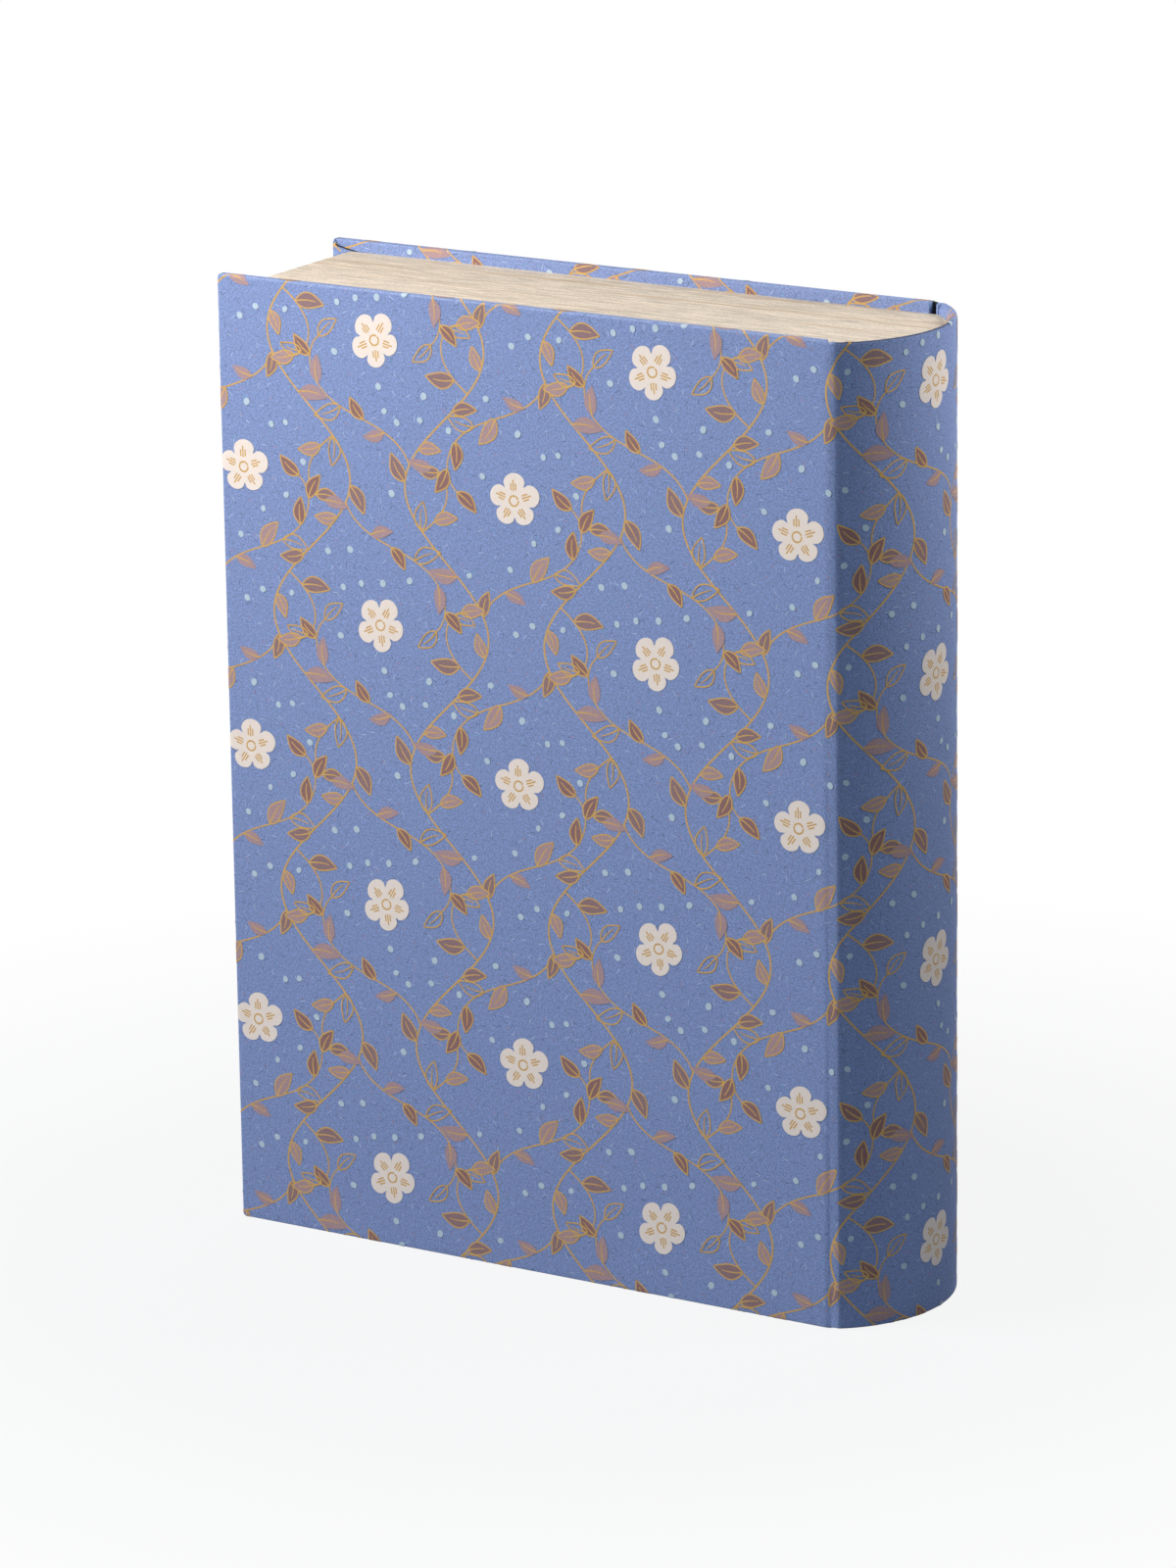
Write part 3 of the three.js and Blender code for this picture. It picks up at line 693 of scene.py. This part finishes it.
dot_t, dot_r = np.meshgrid(np.linspace(0, 2 * np.pi, 13), np.array([0.0, 1.0]), indexing="ij")
dot = np.stack([0.84 * np.cos(dot_t), 0.96 * np.sin(dot_t)], -1) * dot_r[..., None]

for turned in (as_drawn, half_turn):
    for line, width in stems:
        lay("gold", turned(ribbon(line, width))[None])
for turned in (as_drawn, half_turn):
    for kind, (tint, outlined) in enumerate(
        (("brown", True), ("rose", True), ("russet", True), (None, True), ("rose", False))
    ):
        pick = kinds == kind
        leaves = places[pick], angles[pick], sizes[pick]
        if tint:
            lay(tint, turned(put(blade, *leaves)) + MISFIT)
        if outlined:
            lay("gold", turned(ribbon(put(rim, *leaves), FINE - 0.06)))
        lay("gold", turned(ribbon(put(rib, *leaves), np.linspace(FINE, 0.24, 7))))
lay("cream", put(bloom, *blooms) + MISFIT)
lay("gold", ribbon(put(strokes, *blooms), FINE - 0.05))
lay("gold", ribbon(put(eye, *blooms), FINE))

# dots: a jittered grid, keeping those that stand clear of every stem, leaf and blossom
CLEAR, DOTS = 1.9, 27  # distance kept from the drawing, and how many dots one repeat holds
spots = np.meshgrid(np.arange(0, REPEAT, 7.0), np.arange(0, RISE, 7.6), indexing="ij")
spots = np.stack(spots, -1).reshape(-1, 2)
spots = spots + random.uniform(-2.8, 2.8, spots.shape)
drawn = np.concatenate([loose.reshape(-1, 2) for _, _, loose in ink] + [bloom_at])
gap = spots[:, None] - drawn[None]
gap -= np.round(gap / [REPEAT, RISE]) * [REPEAT, RISE]
spots = spots[(gap**2).sum(-1).min(1) > CLEAR**2]
spots = spots[random.permutation(len(spots))[:DOTS]]
dot_turn, dot_size = random.uniform(0, 3, len(spots)), random.uniform(0.88, 1.10, len(spots))
lay("pale", put(dot, spots, dot_turn, dot_size))


def cut(loose, axis, at):
    """Cuts loose triangles along a straight line across one axis: where one corner lies alone on a
    side, the two edges to it are divided at the line, and three triangles take the place of one."""
    high = loose[..., axis] - at
    side = np.where(np.abs(high) < 1e-6, 0, np.sign(high))
    crossed = (side.min(1) < 0) & (side.max(1) > 0)
    whole, loose, high, side = loose[~crossed], loose[crossed], high[crossed], side[crossed]
    lone = np.where((side > 0).sum(1, keepdims=True) == 1, side > 0, side < 0)
    order = (lone.argmax(1)[:, None] + np.arange(3)) % 3
    a, b, c = np.take_along_axis(loose, order[..., None], 1).swapaxes(0, 1)
    at_a, at_b, at_c = np.take_along_axis(high, order, 1).T[..., None]
    ab, ac = a + (b - a) * at_a / (at_a - at_b), a + (c - a) * at_a / (at_a - at_c)
    return np.concatenate([whole, *(np.stack(p, 1) for p in ((a, ab, ac), (ab, b, c), (ab, c, ac)))])


turn, across = EDGE * np.pi / 2, COVER - 2 * EDGE
LAST = 2 * turn + across + 2.7  # how far past the start of a folded edge the print goes on
BARE_CORNER = 1.1  # the print stops this far from a corner of the sheet
BARE_GAP = 0.85  # at head and tail it stops this far either side of the middle of a gap
# the lines where the sheet bends, as (axis, place): round its edges, at the joints, over the spine
folds = np.arange(0, 2 * turn + across + 0.5, 0.27)
lines = [
    (axis, at) for axis, end in ((0, SHEET), (1, HEIGHT)) for e in folds for at in (EDGE - e, end - EDGE + e)
]
lines += [(0, at) for at in (*joint_columns, *(SHEET - joint_columns), BARE_CORNER, SHEET - BARE_CORNER)]
lines += [(1, BARE_CORNER), (1, HEIGHT - BARE_CORNER)]
lines += [(0, at) for at in np.linspace(COVER_WIDTH + 2, SHEET - COVER_WIDTH - 2, 30)]


def printed(name):
    """One ink over the whole sheet: its triangles are laid out on every repeat, cut at each line where
    the sheet bends, and those past the sheet, in the cut-away corners or in the pinched joint go."""
    loose = [
        np.concatenate([flat, np.full(flat.shape[:2] + (1,), lift)], -1)
        for what, lift, flat in ink
        if what == name
    ]
    steps = np.meshgrid(np.arange(-1, 7) * REPEAT + SHIFT, np.arange(-1, 5) * RISE, [0.0], indexing="ij")
    steps = np.stack(steps, -1).reshape(-1, 1, 1, 3)
    loose = (np.concatenate(loose)[None] + steps).reshape(-1, 3, 3)
    low, high = loose[..., :2].min(1), loose[..., :2].max(1)
    loose = loose[(high > -LAST).all(1) & (low < [SHEET + LAST, HEIGHT + LAST]).all(1)]
    for axis, at in lines:
        loose = cut(loose, axis, at)
    edge_a, edge_b = loose[:, 1] - loose[:, 0], loose[:, 2] - loose[:, 0]
    area = np.abs(edge_a[:, 0] * edge_b[:, 1] - edge_a[:, 1] * edge_b[:, 0])
    centre = loose.mean(1)[:, :2]
    past = np.maximum(-centre, centre - [SHEET, HEIGHT]).max(1)
    corner = (np.minimum(centre, [SHEET, HEIGHT] - centre) < BARE_CORNER).all(1)
    in_gap = np.abs(from_joint(centre[:, 0]) - (GAP_START + GAP_END) / 2) < BARE_GAP
    return loose[(area > 1e-5) & (past < LAST - EDGE) & ~corner & ~(in_gap & (past > -0.2))]


# the inks: colour, how much the paper mottles it, roughness
INKS = {
    "gold": ((0.66, 0.40, 0.125), 0.08, 0.6),
    "brown": ((0.285, 0.180, 0.195), 0.10, 0.8),
    "rose": ((0.430, 0.290, 0.310), 0.10, 0.8),
    "russet": ((0.280, 0.150, 0.150), 0.10, 0.8),
    "cream": ((0.90, 0.79, 0.73), 0.03, 0.8),
    "pale": ((0.52, 0.64, 0.75), 0.05, 0.8),
}
inks = {name: cover_stock(name + "_ink", *finish, fibres=False) for name, finish in INKS.items()}
sheets = {name: printed(name) for name in INKS}


def print_mesh(name, low, high):
    """The inks on the part of the sheet from low to high across it, as one piece with a material for
    each. Corners of one layer that coincide are joined, faces that then fall together are dropped,
    and all faces are turned to face outwards."""
    middles = [loose[..., 0].mean(1) for loose in sheets.values()]
    parts = [loose[(at > low) & (at < high)] for loose, at in zip(sheets.values(), middles)]
    kinds = np.repeat(np.arange(len(parts)), [len(part) for part in parts]).astype(np.int32)
    points = np.concatenate(parts).reshape(-1, 3)
    rounded = np.round(points, 3)
    _, first, corners = np.unique(rounded, axis=0, return_index=True, return_inverse=True)
    flat, corners = points[first], corners.reshape(-1, 3)
    a, b, c = (flat[corners[:, i], :2] for i in range(3))
    area = (b - a)[:, 0] * (c - a)[:, 1] - (b - a)[:, 1] * (c - a)[:, 0]
    corners[area < 0] = corners[area < 0, ::-1]
    corners, kinds = corners[area != 0], kinds[area != 0]
    folded = folded_sheet(flat[:, 0], flat[:, 1], flat[:, 2:])
    mesh = sheet_mesh(name, folded, corners, flat[:, :2])
    mesh.polygons.foreach_set("material_index", kinds)
    piece = add_piece(mesh, *inks.values())
    return piece


lid_spine_print = print_mesh("lid_and_spine_print", -np.inf, SEAM)
back_print = print_mesh("back_cover_print", SEAM, np.inf)
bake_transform(lid_spine_print)
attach(back_print, "tray")

# Page-edge papers: tan paper printed to look like the edges of old pages, glued round the tray's
# outer walls, over their rims and down inside. Its lines run along the pages, never across them.
pages, tree, shader = new_material("printed_page_edges")
block = node(tree, "ShaderNodeTexCoord").outputs["Object"]


def page_lines(stretch, across, detail):
    """Noise drawn out along the pages: coarse in x and z and fine in y, across the pages."""
    scale = {"Vector": block, "Scale": (stretch, across, stretch)}
    return noise(tree, node(tree, "ShaderNodeMapping", scale).outputs[0], 1.0, detail, 0.62)


fine_lines, middle_lines, bold = page_lines(110, 1600, 2), page_lines(35, 800, 3), page_lines(9, 400, 2)
tan = shade(tree, (0.96, 0.83, 0.70, 1), 0.58, 1.12, fine_lines)
tan = shade(tree, tan, 0.72, 1.05, middle_lines)
tan = shade(tree, tan, 0.80, 1.15, noise(tree, block, 1900, 2))
tan = over(tree, tan, (0.56, 0.40, 0.24, 1), ramp(tree, bold, 0.555, 0.63, 0.0, 0.6))
fill(tree, shader, {"Base Color": tan, "Normal": bump(tree, fine_lines, 0.0001, 0.35)})
fill(tree, shader, {"Roughness": 0.85, "Specular IOR Level": 0.25})
dress(pages, "head_edge_paper", "tail_edge_paper", "fore_edge_paper", "spine_wall_paper")

# Lining papers: plain ivory paper with fine fibres, pasted inside the lid, round the tray's walls and
# over its floor. They hide the boards and the raw edges of the turned-in paper.
lining, tree, shader = new_material("ivory_lining_paper")
spot = node(tree, "ShaderNodeTexCoord").outputs["Object"]
pulp = noise(tree, spot, 700, 4, 0.65)
net = {"Vector": spot, "Scale": 260}
long_fibres = node(tree, "ShaderNodeTexVoronoi", net, feature="DISTANCE_TO_EDGE").outputs[0]
ivory = shade(tree, (0.76, 0.72, 0.64, 1), 0.94, 1.05, pulp)
ivory = shade(tree, ivory, 0.96, 1.03, noise(tree, spot, 60, 3))
ivory = over(tree, ivory, (0.62, 0.55, 0.44, 1), ramp(tree, long_fibres, 0.0, 0.00018, 0.20, 0.0))
fill(tree, shader, {"Base Color": ivory, "Normal": bump(tree, pulp, 0.00008, 0.4)})
fill(tree, shader, {"Roughness": 0.85, "Specular IOR Level": 0.3})
dress(lining, "lid_lining_paper", "wall_lining_paper", "floor_lining_paper")

# Boards: 2 mm greyboard, pressed from waste paper, for both covers, the tray's walls and its floor,
# and a thinner card bent for the spine. Dark and pale specks of old print show in it.
greyboard, tree, shader = new_material("greyboard")
spot = node(tree, "ShaderNodeTexCoord").outputs["Object"]
pulp = noise(tree, spot, 450, 5, 0.7)
grey = shade(tree, (0.36, 0.335, 0.30, 1), 0.84, 1.14, pulp)
for scale, size, tone in ((330, 0.0007, (0.10, 0.10, 0.11, 1)), (420, 0.0005, (0.66, 0.64, 0.60, 1))):
    specks = node(tree, "ShaderNodeTexVoronoi", {"Vector": spot, "Scale": scale}).outputs["Distance"]
    grey = over(tree, grey, tone, ramp(tree, specks, size * scale * 0.5, size * scale, 0.7, 0.0))
fill(tree, shader, {"Base Color": grey, "Normal": bump(tree, pulp, 0.0002, 0.5)})
fill(tree, shader, {"Roughness": 0.92, "Specular IOR Level": 0.2})
dress(greyboard, "lid_board", "back_board", "spine_card", "tray_floor")
dress(greyboard, "head_wall", "tail_wall", "fore_edge_wall", "spine_wall")

# Spine card: 1.5 mm greyboard bent to the spine's curve, with a narrow flat flange at each joint. Its
# inner edges are pared to a slope at head and tail, so that the paper turns in thinly over them.
OUTER, PARED_FROM, INNER = 0.4, 0.85, 1.9  # depths of its faces, and of the slope's start between them
SHORT, SLOPE = 0.35, 1.0  # how far it stops short of the sheet's folds, and how high the slope is
across = np.concatenate([[184.7, 185.4], np.linspace(186.0, SHEET / 2, 30)])
across = np.concatenate([across, SHEET - across[-2::-1]])
depth = np.array([OUTER, OUTER, PARED_FROM, INNER, INNER, PARED_FROM, OUTER])
top, top_inside = HEIGHT - SHORT, HEIGHT - SHORT - SLOPE
heights = np.array([SHORT, top, top, top_inside, SHORT + SLOPE, SHORT, SHORT])
rings = case_point(across[:, None] + 0 * depth, depth + 0 * across[:, None], heights)
ends = [np.stack([end[[0, 5, 4]], end[[1, 2, 3]]]) for end in rings[[0, -1]]]
patches = [(points, np.zeros((1, 1, 2)), 0.0) for points in (rings, ends[0], ends[1].swapaxes(0, 1))]
spine_card = paper_mesh("spine_card_pared", patches, greyboard)
spine_card.data.polygons.foreach_set("use_smooth", np.zeros(len(spine_card.data.polygons), bool))
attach(spine_card, "tray")
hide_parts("spine_card")

# Closure: two nickel-plated disc magnets let into the lid, over two steel discs in the tray's rim.
# The plating is smooth with faint rubbed patches; the discs are punched from brushed sheet.
for name, colour, rough, brushed, discs in (
    ("nickel_plate", (0.66, 0.62, 0.55, 1), 0.24, False, ("upper_lid_magnet", "lower_lid_magnet")),
    ("brushed_steel", (0.55, 0.56, 0.57, 1), 0.36, True, ("upper_steel_disc", "lower_steel_disc")),
):
    metal, tree, shader = new_material(name)
    spot = node(tree, "ShaderNodeTexCoord").outputs["Object"]
    if brushed:
        stretch = {"Vector": spot, "Scale": (300, 300, 6000)}
        streaks = noise(tree, node(tree, "ShaderNodeMapping", stretch).outputs[0], 1.0, 3)
    else:
        streaks = noise(tree, spot, 500, 3)
    matt = ramp(tree, streaks, 0.3, 0.7, rough - 0.07, rough + 0.10)
    fill(tree, shader, {"Base Color": shade(tree, colour, 0.90, 1.08, streaks), "Roughness": matt})
    fill(tree, shader, {"Normal": bump(tree, streaks, 0.00002, 0.3), "Metallic": 1.0})
    dress(metal, *discs)

# Studio: a pale floor that keeps the box's shadow, a white background and five soft lamps. Two small
# ones stand close by, at the upper left and at the right behind, and three large ones further away.
half_side = 8  # metres
studio_floor = bpy.data.meshes.new("floor")
square = [(x * half_side, y * half_side, 0) for x, y in ((-1, -1), (1, -1), (1, 1), (-1, 1))]
studio_floor.from_pydata(square, [], [(0, 1, 2, 3)])
ground = add_object("floor", studio_floor)
floor_paint, tree, shader = new_material("floor_paint")
fill(tree, shader, {"Base Color": (0.29, 0.34, 0.42, 1), "Roughness": 1.0, "Specular IOR Level": 0.0})


def seen_directly(tree):
    """1 for rays from the camera, and for those that a mirror or glass passes on, else 0."""
    ray = node(tree, "ShaderNodeLightPath").outputs
    seen = maths(tree, "MAXIMUM", ray["Is Camera Ray"], ray["Is Glossy Ray"])
    return maths(tree, "MAXIMUM", seen, ray["Is Transmission Ray"])


spot = node(tree, "ShaderNodeTexCoord").outputs["Object"]
from_box = node(tree, "ShaderNodeVectorMath", {0: spot}, operation="LENGTH").outputs["Value"]
whiteness = maths(tree, "MULTIPLY", ramp(tree, from_box, 0.13, 0.36, 0.89, 1.0), seen_directly(tree))
white = node(tree, "ShaderNodeEmission", {0: (1, 1, 1, 1), 1: 1.0}).outputs[0]
blended = node(tree, "ShaderNodeMixShader", {0: whiteness, 1: shader.outputs[0], 2: white}).outputs[0]
tree.links.new(blended, tree.nodes["Material Output"].inputs[0])
studio_floor.materials.append(floor_paint)

world = bpy.data.worlds.new("studio")
bpy.context.scene.world = world
world.use_nodes = True
tree = world.node_tree
strength = ramp(tree, seen_directly(tree), 0.0, 1.0, 0.0, 1.0)
fill(tree, tree.nodes["Background"], {0: (1, 1, 1, 1), 1: strength})


def soft_lamp(name, place, target, size, power, colour):
    """A square softbox at a place, facing a target."""
    lamp = bpy.data.lights.new(name, "AREA")
    lamp.shape, lamp.size, lamp.energy, lamp.color = "SQUARE", size, power, colour
    holder = add_object(name, lamp)
    holder.location = place
    holder.rotation_euler = (Vector(target) - Vector(place)).to_track_quat("-Z", "Y").to_euler()
    holder.visible_camera = False


middle = (0, 0, 0.13)
soft_lamp("upper_left_lamp", (-0.24, -0.27, 0.52), (-0.02, -0.03, 0.17), 0.18, 2.1, (1.0, 0.955, 0.89))
soft_lamp("left_lamp", (-1.6, -1.2, 0.8), middle, 1.0, 16.2, (0.975, 0.99, 0.99))
soft_lamp("right_rear_lamp", (0.265, 0.115, 0.36), (0.09, 0, 0.18), 0.12, 0.50, (1.0, 0.99, 0.96))
soft_lamp("rear_lamp", (-0.5, 1.6, 0.45), middle, 0.8, 12.0, (1.0, 1.0, 1.0))
soft_lamp("front_lamp", (0.40, -0.85, 0.85), middle, 0.6, 2.6, (0.79, 0.93, 1.0))
bpy.context.scene.view_settings.view_transform = "Standard"
